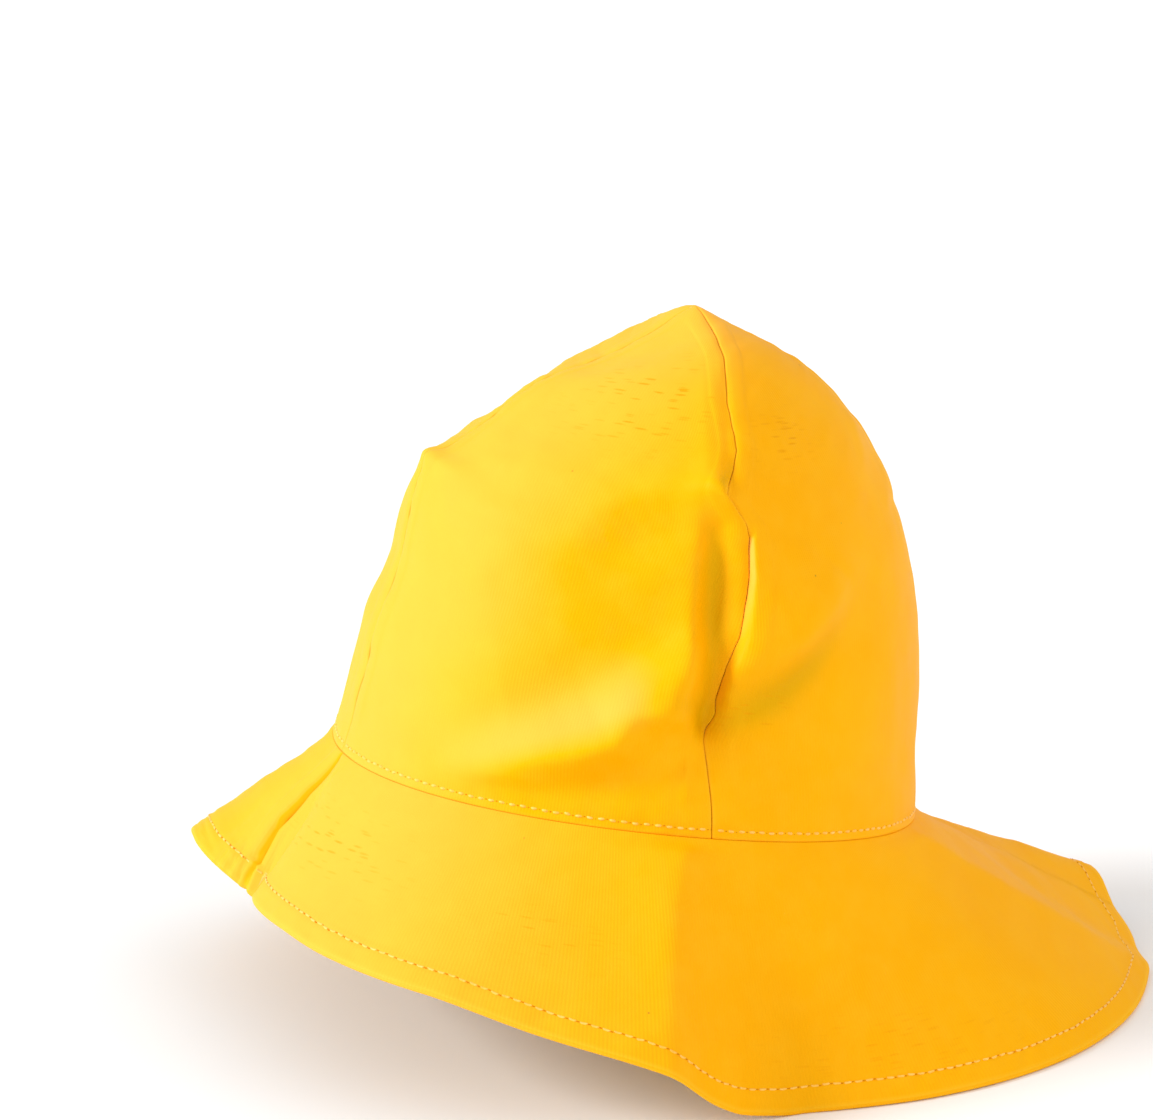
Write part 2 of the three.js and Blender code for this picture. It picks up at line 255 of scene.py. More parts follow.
def sewingThread():
    finish = Finish("sewing_thread_yellow")
    cloudy = finish.noise(420.0, 3.0)
    ply = finish.noise(2400.0, 2.0)
    colour = finish.mixColour(cloudy.above(0.35, 0.7), (1.0, 0.6, 0.1, 1), (1.0, 0.49, 0.02, 1))
    bump = finish.bump(0.6, 0.0001, ply)
    rough = 0.5 + (cloudy - 0.5) * 0.2
    return finish.surface({"Sheen Weight": 0.3, "Base Color": colour, "Roughness": rough, "Normal": bump})


# the needle holes are small dark patches in a deeper orange: painted shade of the holes between the stitches
def needleHolePaintedShade():
    finish = Finish("needle_holes_painted_shade")
    cloudy = finish.noise(420.0, 3.0)
    colour = finish.mixColour(cloudy, (0.75, 0.27, 0.0, 1), (0.62, 0.2, 0.0, 1))
    rough = 0.6 + cloudy * 0.2
    return finish.surface({"Specular IOR Level": 0.1, "Base Color": colour, "Roughness": rough})


coatedFace = coatedCloth()
holePaintedShadeFinish = needleHolePaintedShade()
backFace = clothBacking()
threadFinish = sewingThread()
print("finishes made")

# from the lower edge to the top: how far each seam stands out, how the crown leans, how flat its gores are,
# and how high each seam has come
crownRows = {
    "along": [0, 0.06, 0.18, 0.34, 0.5, 0.54, 0.71, 0.86, 0.95, 1],
    "front": [1, 0.96, 0.91, 0.89, 0.84, 0.78, 0.52, 0.266, 0.102, 0],
    "side": [1, 1, 0.99, 0.935, 0.84, 0.806, 0.624, 0.323, 0.118, 0],
    "back": [1, 1, 1, 0.925, 0.83, 0.8, 0.59, 0.3, 0.11, 0],
    "lean": [0, 0, 0.05, 0.36, 0.58, 0.6, 0.7, 0.9, 1, 1],
    "ridge": [0, 0, 0.05, 0.12, 0.24, 0.28, 0.32, 0.3, 0.2, 0],
    "frontRise": [0, 0.083, 0.252, 0.465, 0.672, 0.695, 0.818, 0.892, 0.955, 1],
    "sideRise": [0, 0.08, 0.237, 0.455, 0.61, 0.65, 0.8, 0.925, 0.972, 1],
    "backRise": [0, 0.074, 0.216, 0.409, 0.59, 0.63, 0.8, 0.9, 0.955, 1],
}

# wide dents: place (degrees, share of the way up), size (shares of the crown's height), turn, depth
crownDents = [
    (66, 0.33, 0.2, 0.15, 8, 0.46),
    (47, 0.24, 0.22, 0.08, 31, -0.16),
    (128, 0.42, 0.3, 0.2, 20, 0.12),
    (2, 0.75, 0.6, 0.12, 0, -0.2),
    (356, 0.31, 0.3, 0.13, 0, 0.18),
    (328, 0.69, 0.3, 0.24, 0, 0.36),
    (285, 0.32, 0.25, 0.2, -25, 0.3),
    (225, 0.3, 0.26, 0.14, 20, 0.25),
]


# folds drawn on the crown as lines: the places they pass (degrees round, share of the way up), the depth in
# millimetres (a ridge is below 0), the width on the left and right of the line, how sharp the line is, and how
# much of the depth is left at each end
crownFolds = [
    ([(76, 0.86), (77, 0.72), (78, 0.6)], -1.2, 11, 4.5, 1.3, (0.3, 0.9)),
    ([(86, 0.78), (85.5, 0.66), (85, 0.57)], 1.5, 3.5, 3, 1.5, (0.4, 1)),
    ([(80, 0.575), (70, 0.568), (63, 0.555), (57, 0.53), (52, 0.48), (49, 0.41)],
     -5.0, 13, 10, 1.3, (0.9, 0.15)),
    ([(77, 0.5), (70, 0.495), (64, 0.48), (60, 0.45), (57, 0.39)], 5.0, 10, 14, 1.5, (0.6, 0.3)),
    ([(80, 0.575), (84, 0.55), (87.5, 0.52)], -2.4, 5, 7, 1.3, (0.8, 0.7)),
    ([(37, 0.03), (46, 0.062), (55, 0.094), (62, 0.112), (68.5, 0.138), (71.5, 0.185), (78, 0.205)],
     -9.5, 10, 8, 1.35, (0.1, 0.7)),
    ([(45, 0.165), (55, 0.195), (65, 0.24), (75, 0.31)], 5.2, 18, 9, 1.7, (0.2, 0.6)),
    ([(56, 0.05), (66, 0.068), (76, 0.085), (84, 0.12)], 3.2, 8, 6, 1.6, (0.2, 0.8)),
    ([(77.8, 0.505), (78.4, 0.42), (80, 0.32), (82, 0.235)], -3.6, 3.6, 8, 1.25, (0.35, 0.8)),
    ([(82.2, 0.5), (83, 0.43), (84.6, 0.36), (86.6, 0.29), (87.6, 0.235), (87.8, 0.175)],
     7.0, 6, 6, 1.8, (0.4, 0.8)),
    ([(91.9, 0.49), (92.4, 0.4), (92.1, 0.31), (90.6, 0.262), (90.5, 0.217)],
     4.6, 0.6, 9, 1.6, (0.3, 0.9)),
    ([(72, 0.205), (78, 0.215), (83, 0.225)], 2.0, 5, 3.2, 1.4, (0.3, 1)),
    ([(83, 0.215), (86.3, 0.19), (87.6, 0.165)], 1.4, 4.5, 3, 1.4, (0.5, 1)),
    ([(77, 0.19), (82, 0.18), (86, 0.155)], -2.0, 2.8, 4.5, 1.2, (0.5, 0.9)),
    ([(89.5, 0.16), (95, 0.19), (103, 0.222), (111, 0.268), (117, 0.31)], 7.0, 9, 15, 1.4, (0.9, 0.3)),
    ([(93, 0.27), (103, 0.31), (113, 0.37), (120, 0.42)], -6.0, 17, 9, 1.6, (0.4, 0.3)),
    ([(83.6, 0.115), (83.2, 0.06)], -1.1, 1.6, 1.2, 1.4, (0.6, 0.8)),
    ([(352, 0.507), (0, 0.512), (6, 0.51)], -2.0, 4, 4.5, 1.5, (0.1, 0.1)),
    ([(146, 0.5), (160, 0.515), (176, 0.51)], 1.4, 3.5, 5, 1.3, (0, 0.6)),
    ([(150, 0.1), (165, 0.105), (180, 0.1)], 0.9, 9, 9, 2, (0.2, 1)),
    ([(106, 0.4), (103, 0.36), (100, 0.31)], 0.5, 3, 6, 1.4, (0.2, 0.6)),
    ([(200, 0.14), (222, 0.24), (246, 0.3)], 2.4, 10, 6, 1.3, (0.2, 0.7)),
    ([(268, 0.18), (290, 0.28), (312, 0.36)], 2.2, 9, 8, 1.3, (1, 0.2)),
    ([(272, 0.62), (276, 0.5), (280, 0.42)], 1.6, 6, 9, 1.3, (0.2, 0.8)),
    ([(178, 0.36), (200, 0.42), (224, 0.5)], -1.8, 10, 7, 1.3, (0.1, 0.8)),
]

# painted shade and painted light as strokes on the crown: a deeper colour along the hollows and creases where
# shade falls, and a paler colour on the lit folds, the lip of the left seam and the front where the light
# falls; strength in place of depth, above 0 for painted shade and below 0 for painted light
crownPaintedShadeAndLight = [
    ([(80.8, 0.49), (81.5, 0.43), (83.4, 0.36), (85.8, 0.29), (87.2, 0.235), (87.6, 0.18)],
     1.0, 4.2, 4.4, 1.8, (0.6, 0.45)),
    ([(90, 0.165), (95, 0.195), (103, 0.225), (111, 0.268), (116, 0.31)], 0.95, 8, 5, 1.7, (0.45, 0.4)),
    ([(76, 0.21), (82, 0.205), (87, 0.18)], 0.5, 4, 3, 1.6, (0.3, 0.9)),
    ([(90.3, 0.66), (88.5, 0.6), (86, 0.56)], 0.9, 2.2, 2.2, 1.6, (0.1, 1)),
    ([(50, 0.055), (60, 0.075), (72, 0.1)], 0.35, 6, 7, 1.8, (0.2, 0.6)),
    ([(52, 0.4), (62, 0.34), (73, 0.34), (76, 0.44), (66, 0.47)], 0.3, 11, 11, 1.8, (0.3, 0.8)),
    ([(38, 0.07), (47, 0.105), (56, 0.14), (63, 0.165), (69, 0.2)], -0.55, 10, 5, 1.8, (0.3, 0.8)),
    ([(90.2, 0.485), (90.35, 0.42), (90.2, 0.31)], -0.7, 0.45, 0.6, 2, (0.9, 0.2)),
    ([(77.6, 0.49), (77, 0.43)], -0.4, 2, 3, 1.5, (0.5, 0.2)),
    ([(8, 0.05), (14, 0.5), (20, 0.97)], -0.42, 42, 42, 2.2, (1, 0.8)),
]

# how far each seam wanders sideways: share of the way up, millimetres
seamWander = {
    "front": [(0, 0), (0.2, 0.6), (0.45, -0.5), (0.55, 0.8), (0.8, -0.7), (1, 0)],
    "left": [(0, -2.3), (0.06, -2.2), (0.1, -2.8), (0.145, -3.2), (0.176, 0.4), (0.19, 1.2), (0.217, 0.9),
             (0.262, 0.9), (0.31, 3.0), (0.41, 3.6), (0.49, 2.6), (0.515, 0.6), (0.54, -4.6), (0.56, -8.2),
             (0.585, -7.0), (0.62, -3.6), (0.66, -0.9), (0.69, -0.9), (0.75, -2.2), (0.84, 0.9), (0.92, 0.4),
             (1, 0)],
    "back": [(0, 0), (0.15, 1.2), (0.35, -0.8), (0.6, 1), (0.8, -0.4), (1, 0)],
    "right": [(0, 0.8), (0.15, 2.2), (0.3, -1), (0.5, 1.4), (0.7, -0.8), (1, 0)],
}
seamOrder = ["front", "left", "back", "right"]

goreLook = {
    "columns": 104,
    "rows": 168,
    "rollRadius": 0.75,
    "wanderFade": 42.0,
    "stitchFromEdge": 2.9,
    "stitchGroove": 0.3,
    "threadWidth": 0.9,
    "pucker": 0.1,
    "lowerPucker": 0.13,
    "allowanceLift": 0.35,
    "wideWaves": 0.25,
    "smallWaves": 0.08,
    "topRadius": 0.1,
    "topFade": 0.08,
    "bluntTop": 3.0,
    "bluntSlope": 0.42,
    "probe": 0.012,
    "poleMargin": 0.97,
}


def readRow(table, column, at):
    # smooth reading of one column against the table's first, with no overshoot between its rows
    keys, values = (np.array(row, float) for row in (next(iter(table.values())), table[column]))
    slopes = np.diff(values) / np.diff(keys)
    tangents = np.zeros(len(keys))
    tangents[0], tangents[-1] = slopes[0], slopes[-1]
    same = slopes[:-1] * slopes[1:] > 0
    total = np.where(same, slopes[:-1] + slopes[1:], 1.0)
    tangents[1:-1] = np.where(same, 2 * slopes[:-1] * slopes[1:] / total, 0.0)
    at = np.asarray(at, float)
    i = np.clip(np.searchsorted(keys, at, side="left") - 1, 0, len(keys) - 2)
    span = keys[i + 1] - keys[i]
    t = np.clip((at - keys[i]) / span, 0, 1)
    rise = t * t * (3 - 2 * t)
    bend = tangents[i] * t * (1 - t) ** 2 - tangents[i + 1] * t * t * (1 - t)
    return values[i] * (1 - rise) + values[i + 1] * rise + span * bend


def smoothStep(x, low, high):
    t = np.clip((x - low) / (high - low), 0, 1)
    return t * t * (3 - 2 * t)


def bell(x, middle, width, power=2):
    # 1 in the middle, falling to 0 on both sides
    return np.exp(-(((x - middle) / width) ** power))


def shortTurn(angle):
    return angle - fullTurn * np.round(angle / fullTurn)


def unit(vectors):
    return vectors / np.maximum(np.linalg.norm(vectors, axis=-1, keepdims=True), 1e-12)


def waves(seed, x, y, length, count=28):
    # gentle unevenness: waves in many directions, about one high
    dice = np.random.default_rng(seed)
    total = np.zeros(np.broadcast(x, y).shape)
    for _ in range(count):
        way = dice.uniform(0, fullTurn)
        size = length * dice.uniform(0.6, 1.7)
        phase = dice.uniform(0, fullTurn)
        total = total + np.sin((x * math.cos(way) + y * math.sin(way)) * fullTurn / size + phase)
    return total * math.sqrt(2 / count)


def foldDepth(folds, around, along, radius, rise):
    # the depth that lines of folds press into the cloth; their places are measured on the cloth itself
    blunt = 0.12  # how much of a fold's width is rounded at its bottom
    depth = np.zeros(around.shape)
    for path, deep, wideLeft, wideRight, sharp, ends in folds:
        nearest = np.full(around.shape, 1e9)
        side = np.zeros(around.shape)
        progress = np.zeros(around.shape)
        steps = len(path) - 1
        for k in range(steps):
            (a0, l0), (a1, l1) = path[k], path[k + 1]
            px = shortTurn(around - math.radians(a0)) * radius
            py = (along - l0) * rise
            qx = shortTurn(math.radians(a1 - a0)) * radius
            qy = (l1 - l0) * rise
            t = np.clip((px * qx + py * qy) / np.maximum(qx * qx + qy * qy, 1e-9), 0, 1)
            away = np.hypot(px - t * qx, py - t * qy)
            closer = away < nearest
            nearest = np.where(closer, away, nearest)
            across = (qx * py - qy * px) / np.maximum(np.hypot(qx, qy) * away, 1e-9)
            side = np.where(closer, np.clip(across, -1, 1), side)
            progress = np.where(closer, (k + t) / steps, progress)
        wide = wideRight + (wideLeft - wideRight) * (side + 1) / 2
        swell = np.sin(np.pi * np.clip(progress, 0, 1)) * (1 - max(ends))
        left = ends[0] + (ends[1] - ends[0]) * progress + swell
        rounded = np.sqrt(nearest ** 2 + (blunt * wide) ** 2) - blunt * wide
        depth += deep * left * np.exp(-((rounded / wide) ** sharp))
    return depth


def crownForm(around, along):
    def row(column):
        return readRow(crownRows, column, along)

    def flatten(x):
        return np.sign(x) * ((1 - ridge) * np.abs(x) + ridge * x * x)

    def climb(ringHeight, seam):
        return ringHeight + (hatShape["crownTop"] - ringHeight) * row(seam)

    ridge = row("ridge")
    ahead = flatten(np.cos(around))
    reach = halfDepth * np.where(ahead > 0, row("front"), row("back"))
    front = climb(hatShape["ringFrontHeight"], "frontRise")
    side = climb(hatShape["ringSideHeight"], "sideRise")
    back = climb(hatShape["ringBackHeight"], "backRise")
    height = side + (front - back) / 2 * ahead + ((front + back) / 2 - side) * ahead * ahead
    sideways = halfWidth * row("side") * flatten(np.sin(around))
    return np.stack([sideways, hatShape["crownLean"] * row("lean") - reach * ahead, height], -1)


def smoothCrown(around, along):
    # the crown's form; the bend at the front seam eases off towards the sides
    form = crownForm(around, along)
    away = np.abs(shortTurn(around))
    soft = smoothStep(away, math.radians(5), math.radians(26))
    soft = soft * smoothStep(along, 0.2, 0.34) * smoothStep(0.86 - along, 0, 0.16)
    eased = sum(crownForm(around, along + step) for step in (-0.09, -0.045, 0.045, 0.09)) / 4
    return form + (eased - form) * soft[..., None]


def surfaceNormal(surface, around, along):
    step = goreLook["probe"]
    level = np.clip(along, step, goreLook["poleMargin"])
    across = surface(around + step, level) - surface(around - step, level)
    up = surface(around, level + step) - surface(around, level - step)
    return unit(np.cross(across, up))


def dentDepth(around, along):
    depth = np.zeros(np.broadcast(around, along).shape)
    side = readRow(crownRows, "side", along)
    for place, level, across, tall, turned, deep in crownDents:
        sideways = shortTurn(around - math.radians(place)) * halfWidth * side
        upwards = (along - level) * clothRise
        c, s = math.cos(math.radians(turned)), math.sin(math.radians(turned))
        a = (sideways * c + upwards * s) / (across * crownHeight)
        b = (upwards * c - sideways * s) / (tall * crownHeight)
        depth = depth + deep * hatShape["crownDent"] * np.exp(-a * a - b * b)
    return depth


def crownCloth(gore, around, along):
    # the outer face of one gore, from its place in the gore: returns points, the wear along edges and the grain
    look = goreLook
    radius = np.maximum(halfWidth * readRow(crownRows, "side", along), 0.5)
    start = gore * quarterTurn
    fromFirst = (around - start) * radius
    fromLast = (start + quarterTurn - around) * radius
    fromEdge = np.minimum(fromFirst, fromLast)
    fromBottom = along * clothRise
    wander = np.zeros(around.shape)
    for away, seam in ((fromFirst, seamOrder[gore]), (fromLast, seamOrder[(gore + 1) % 4])):
        levels, shifts = zip(*seamWander[seam])
        fade = smoothStep(look["wanderFade"] - away, 0, look["wanderFade"])
        wander += np.interp(along, levels, shifts) * fade * np.minimum(1, radius / 30)
    turned = around + wander / radius

    sewn = (hatShape["upstand"] + hatShape["seamGap"]) / clothRise
    topFade = smoothStep(1 - along, 0, look["topFade"])
    fade = smoothStep(along, sewn * 0.3, sewn + 0.06) * topFade
    deep = dentDepth(turned, along) * smoothStep(along, sewn, sewn + look["topFade"]) * topFade
    folds = foldDepth(crownFolds, turned, along, radius, clothRise)
    deep += folds * smoothStep(along, sewn * 0.3, sewn * 1.4) * topFade
    x, y = turned * radius, fromBottom
    deep += look["wideWaves"] * waves(3, x, y, 62) * fade * smoothStep(fromEdge, 0, 25)
    deep += look["smallWaves"] * waves(11, x, y, 17) * fade

    # the seam: its turned-in edges roll under, the allowance behind lifts the cloth, and the thread draws it in
    draw = waves(5 + gore, fromBottom, fromEdge * 0, 9, 12)
    deep += look["pucker"] * draw * np.exp(-fromEdge / 6) * fade
    allowance = smoothStep(hatShape["seamAllowance"] + 1 - fromEdge, 0, 2)
    deep -= look["allowanceLift"] * allowance * smoothStep(fromEdge, 0, 3) * fade
    roll = look["rollRadius"]

    def rolled(distance, size):
        near = np.clip(size - distance, 0, size)
        return size - np.sqrt(size * size - near * near)

    narrow = np.minimum(roll, radius * 0.25)
    flush = 1 - 0.85 * bell(along, 0.53, 0.03, 4) * (np.abs(turned - quarterTurn) < 0.5)
    deep += rolled(fromEdge, narrow) * flush
    deep += rolled(fromBottom, roll)

    # the topstitching along the lower edge
    x = around * radius
    deep += look["stitchGroove"] * bell(fromBottom, look["stitchFromEdge"], look["threadWidth"])
    draw = waves(21, x, x * 0, 11, 14)
    deep += look["lowerPucker"] * draw * np.exp(-fromBottom / 7) * smoothStep(fromBottom, 0, 1.5)

    lift = seamLips(gore, fromFirst, fromLast, along)
    points = smoothCrown(turned, along) - (deep - lift)[..., None] * surfaceNormal(smoothCrown, turned, along)
    out = radius * look["bluntSlope"]
    points[..., 2] -= np.sqrt(look["bluntTop"] ** 2 + out * out) - out
    wear = np.maximum(np.exp(-fromEdge / 1.3), np.exp(-fromBottom / 1.3))
    fromMiddle = (around - start - quarterTurn / 2) * radius
    grain = np.stack([fromMiddle, fromBottom, np.full(around.shape, float(gore))], -1)
    return points, wear, grain


# how far the left seam's two edges stand proud where they do
lipLook = {"behind": 0.5, "ahead": 2.6}


def seamLips(gore, fromFirst, fromLast, along):
    # where one gore's edge stands proud of its neighbour's
    lift = np.zeros(along.shape)
    if gore == 1:
        high = bell(along, 0.42, 0.1, 4) + 0.4 * bell(along, 0.87, 0.05)
        lift += lipLook["behind"] * high * smoothStep(fromFirst, 0, 0.8) * bell(fromFirst, 0, 3.0)
    if gore == 0:
        high = bell(along, 0.555, 0.03)
        lift += lipLook["ahead"] * high * smoothStep(fromLast, -1.5, 1.5) * bell(fromLast, 0, 5.0)
    return lift


# the cloth lies in small steps near its edges and in even ones between
edgeSteps = [0, 0.14, 0.35, 0.65, 1.0, 1.5, 2.2, 3.0, 4.0, 5.5, 7.4, 8.0, 8.6]


def edgeShare(width):
    # how much the edge steps shrink where a gore is narrow
    return np.minimum(1, 0.35 * width / edgeSteps[-1])


def spread(width, count):
    # distances across a gore: edgeSteps at both edges and even steps between
    near = np.array(edgeSteps)[None, :] * edgeShare(width)[:, None]
    between = count - 2 * len(edgeSteps)
    t = np.arange(1, between + 1) / (between + 1)
    low, high = near[:, -1:], width[:, None] - near[:, -1:]
    middle = low + (high - low) * t[None, :]
    return np.concatenate([near, middle, width[:, None] - near[:, ::-1]], 1)


def clothGrid(name, columns, rows):
    # a flat grid, and for each of its points the column and row that it is in
    bpy.ops.mesh.primitive_grid_add(x_subdivisions=columns - 1, y_subdivisions=rows - 1, size=1)
    piece = bpy.context.object
    piece.name = name
    piece.data.name = name
    places = np.zeros(len(piece.data.vertices) * 3)
    piece.data.vertices.foreach_get("co", places)
    places = places.reshape(-1, 3)
    column = np.rint((places[:, 0] + 0.5) * (columns - 1)).astype(int)
    row = np.rint((places[:, 1] + 0.5) * (rows - 1)).astype(int)
    return piece, column, row


def shapeCloth(piece, points, wear, grain, marks, paintedShadeLight, doubled):
    # moves the grid's points into place and gives the sheet its thickness
    mesh = piece.data
    mesh.materials.append(coatedFace)
    mesh.materials.append(backFace)
    mesh.vertices.foreach_set("co", ((points + hatMiddle) * metre).ravel())
    # besides the wear and scuffs, the strokes of painted shade and painted light go into their own attribute
    for title, values in (("edgeWear", wear), ("scuffs", marks), ("paintedLightAndShade", paintedShadeLight)):
        mesh.attributes.new(title, "FLOAT", "POINT").data.foreach_set("value", values)
    mesh.attributes.new("grain", "FLOAT_VECTOR", "POINT").data.foreach_set("vector", (grain * metre).ravel())
    mesh.update()
    group = piece.vertex_groups.new(name="doubled")
    for weight in (0.0, 1.0):
        chosen = np.nonzero(doubled == weight)[0]
        group.add([int(i) for i in chosen], weight, "REPLACE")
    solid = piece.modifiers.new("clothThickness", "SOLIDIFY")
    solid.thickness = 2 * hatShape["clothThickness"] * metre
    solid.offset = -1
    solid.vertex_group = "doubled"
    solid.thickness_vertex_group = 0.5
    solid.use_even_offset = False
    solid.material_offset = 1
    solid.material_offset_rim = 0
    bpy.context.view_layer.objects.active = piece
    bpy.ops.object.modifier_apply(modifier=solid.name)
    bpy.ops.object.shade_smooth()
    piece.select_set(False)


def facesOut(piece, middle):
    # whether most faces look away from a point inside the hat
    mesh = piece.data
    count = len(mesh.polygons)
    normals = np.zeros(count * 3)
    centres = np.zeros(count * 3)
    mesh.polygons.foreach_get("normal", normals)
    mesh.polygons.foreach_get("center", centres)
    away = centres.reshape(-1, 3) - np.array(middle)
    return (normals.reshape(-1, 3) * away).sum() > 0


def scuffPlaces(around, along, places):
    marks = np.zeros(around.shape)
    for place, level, across, tall, strength in places:
        a = shortTurn(around - math.radians(place)) / math.radians(across)
        b = (along - level) / tall
        marks = np.maximum(marks, strength * np.exp(-a * a - b * b))
    return marks


crownScuffs = [
    (58, 0.76, 26, 0.07, 1.0),
    (52, 0.69, 18, 0.05, 0.9),
    (112, 0.68, 14, 0.05, 0.7),
    (98, 0.2, 8, 0.03, 0.5),
    (230, 0.5, 30, 0.1, 0.6),
]


def makeGore(name, gore):
    look = goreLook
    columns, rows = look["columns"], look["rows"]
    piece, column, row = clothGrid(name, columns, rows)
    upper = 1 - 2 * look["topRadius"] / clothRise
    near = np.array(edgeSteps)
    even = near[-1] + (upper * clothRise - near[-1]) * np.arange(1, rows - len(near) + 1) / (rows - len(near))
    levels = np.concatenate([near, even]) / clothRise
    radius = halfWidth * readRow(crownRows, "side", levels)
    width = radius * quarterTurn
    gap = hatShape["seamGap"] / 2
    places = gap + spread(width - 2 * gap, columns)
    around = gore * quarterTurn + places[row, column] / radius[row]
    along = levels[row]
    points, wear, grain = crownCloth(gore, around, along)
    fromEdge = np.minimum(places[row, column], width[row] - places[row, column])
    fromBottom = along * clothRise
    turnedIn = np.minimum(fromEdge, fromBottom)
    share = edgeShare(width[row])
    least, most = hatShape["doubledFrom"], hatShape["doubledTo"]
    doubled = np.where((turnedIn > least * share) & ((fromEdge < most * share) | (fromBottom < most)), 1.0, 0.0)
    marks = scuffPlaces(around, along, crownScuffs)
    # painted shade in the hollows and painted light on the lit folds and the front, from the crown's strokes
    paintedShadeLight = foldDepth(crownPaintedShadeAndLight, around, along, radius[row], clothRise)
    shapeCloth(piece, points, wear, grain, marks, paintedShadeLight, doubled)
    return piece


goreNames = ["crown_gore_front_left", "crown_gore_back_left", "crown_gore_back_right", "crown_gore_front_right"]
gores = [makeGore("cloth_" + node, index) for index, node in enumerate(goreNames)]
print("crown gores shaped:", [len(g.data.polygons) for g in gores])

# The brim

# degrees round the hat from the front to the back, on the wearer's left and right
rimRows = {
    "around": [0, 7, 20, 32, 47, 63, 77, 84, 90, 96, 101, 114, 139, 161, 168, 172, 180],
    "leftReach": [0.38, 0.45, 0.52, 0.58, 0.62, 0.61, 0.6, 0.53, 0.47, 0.46, 0.49, 0.61,
                  0.84, 1.01, 1.05, 1.04, 1.04],
    "leftLift": [0.94, 1.07, 1.07, 1.03, 0.95, 0.72, 0.46, 0.19, 0.04, 0, 0, 0, 0, 0, 0, 0.05, 0.19],
    "rightReach": [0.38, 0.46, 0.59, 0.66, 0.66, 0.62, 0.57, 0.57, 0.58, 0.59, 0.61, 0.66,
                   0.82, 1.02, 1.06, 1.08, 1.04],
    "rightLift": [0.94, 1.04, 1.1, 0.98, 0.8, 0.4, 0, 0, 0, 0, 0, 0, 0, 0.03, 0.2, 0.36, 0.19],
}

# wide folds down the brim: degrees, degrees wide, the share of the slope where each starts, depth
brimWaves = [(0, 6, 0, 0.5), (88, 7, 0.2, 0.25), (168, 5, 0.1, 0.25)]

# folds drawn on the brim as lines, in the same way: degrees round, share of the way from the crown to the rim
brimFolds = [
    ([(83.5, 0), (80.5, 0.3), (79.5, 0.6), (79, 0.97)], -5.6, 12, 11, 1.05, (0.6, 0.5)),
    ([(184, 0.03), (187, 0.2), (189, 0.42), (189, 0.66)], 6.0, 18, 16, 2, (0.75, 0.3)),
    ([(324, 0), (329, 0.25), (334, 0.5)], 3.4, 22, 22, 2, (0.9, 0.2)),
    ([(97, 0.35), (97.5, 0.7), (96.8, 1)], 1.0, 9, 9, 1.8, (0.1, 0.9)),
    ([(0.6, 0.02), (356.2, 0.3), (354.6, 0.6), (356.4, 1)], 2.2, 1.3, 1.7, 1.1, (0.7, 0.8)),
    ([(357.6, 0.45), (357.4, 0.7), (359, 0.94)], 1.0, 1.2, 1.6, 1.3, (0.1, 0.9)),
    ([(352.2, 0.8), (352.2, 1)], 1.9, 1.3, 1.6, 1.5, (0.5, 1)),
    ([(354.6, 0.82), (354.8, 1)], 1.9, 1.1, 1.4, 1.5, (0.5, 1)),
    ([(349.4, 0.78), (349.4, 1)], 1.5, 1.5, 2.0, 1.4, (0.4, 1)),
    ([(347, 0.55), (346.5, 0.8), (347, 1)], 0.9, 2.5, 3.5, 1.5, (0.1, 0.8)),
    ([(145, 0.02), (150, 0.2), (157.5, 0.5), (163.5, 0.78), (166, 0.97)],
     -3.2, 12, 14, 1.05, (0.5, 0.8)),
    ([(120, 0.3), (126, 0.6), (130, 1)], 0.5, 16, 16, 2, (0.2, 0.9)),
    ([(215, 0), (212, 0.5), (210, 1)], 1.2, 12, 9, 1.3, (0.3, 0.8)),
    ([(266, 0), (268, 0.4), (272, 0.9)], -1.4, 10, 8, 1.3, (0.8, 0.3)),
    ([(300, 0.3), (304, 0.6), (307, 1)], 1.0, 9, 9, 1.6, (0.1, 0.9)),
]

brimLook = {
    "columns": 560,
    "slopeRows": 45,
    "rimRadius": 1.2,
    "hemWidth": 8.0,
    "hemStitch": 6.9,
    "stitchGroove": 0.28,
    "layerLift": 0.3,
    "pucker": 0.12,
    "topPucker": 0.084,
    "wideWaves": 0.14,
    "smallWaves": 0.03,
    "upstandIn": 2.85,
    "patchWidth": 2.8,
    "patchHeight": 1.0,
    "notch": 1.2,
    "notchWidth": 1.1,
    "seamSteps": 0.6,
    "seamReach": 15.0,
    "clear": 0.02,  # how high the rim stays above the surface
    "ease": 0.8,
    "closer": 0.5,
}

# how far the front seam wanders: share of the way out, degrees
frontSeamWander = [(0, 0.8), (0.1, -0.6), (0.3, -3.6), (0.55, -5.2), (0.8, -4.6), (1, -3.4)]


